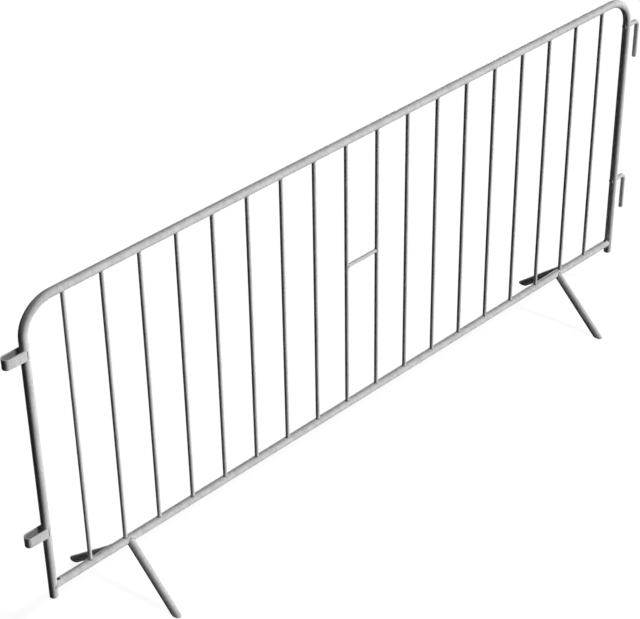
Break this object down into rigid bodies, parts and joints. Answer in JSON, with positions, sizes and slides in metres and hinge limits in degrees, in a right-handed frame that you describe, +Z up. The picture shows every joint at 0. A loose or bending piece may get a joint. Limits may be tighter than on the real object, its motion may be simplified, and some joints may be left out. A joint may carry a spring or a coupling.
{
  "type": "pedestrian barrier panel",
  "caption": "Free-standing welded steel crowd barrier: bent tube frame with upright bars, sloping feet, strap loops at one end and hook rods at the other for linking panels.",
  "frame": {"origin": "on the ground, below the middle of the panel, midway between the two legs", "axes": "+X along the panel from the loops to the hooks, +Y square to the panel towards the rear feet, +Z up"},
  "size_m": [2.4955, 0.4126, 1.1],
  "materials": {
    "galvanised_tube": "hot-dip galvanised round tube, pale grey, satin",
    "galvanised_bar": "hot-dip galvanised thin tube, pale grey, satin",
    "galvanised_fitting": "hot-dip galvanised flat strap and round rod, pale grey, satin"
  },
  "bodies": {
    "root": {"frame_hoop": "galvanised_tube", "bottom_rail": "galvanised_tube", "front_left_foot": "galvanised_tube", "rear_left_foot": "galvanised_tube", "front_right_foot": "galvanised_tube", "rear_right_foot": "galvanised_tube", "bar_01": "galvanised_bar", "bar_02": "galvanised_bar", "bar_03": "galvanised_bar", "bar_04": "galvanised_bar", "bar_05": "galvanised_bar", "bar_06": "galvanised_bar", "bar_07": "galvanised_bar", "bar_08": "galvanised_bar", "bar_09": "galvanised_bar", "bar_10": "galvanised_bar", "bar_11": "galvanised_bar", "bar_12": "galvanised_bar", "bar_13": "galvanised_bar", "bar_14": "galvanised_bar", "bar_15": "galvanised_bar", "bar_16": "galvanised_bar", "bar_17": "galvanised_bar", "bar_18": "galvanised_bar", "tie_bar": "galvanised_bar", "upper_loop": "galvanised_fitting", "lower_loop": "galvanised_fitting", "upper_hook": "galvanised_fitting", "lower_hook": "galvanised_fitting"}
  },
  "joints": []
}
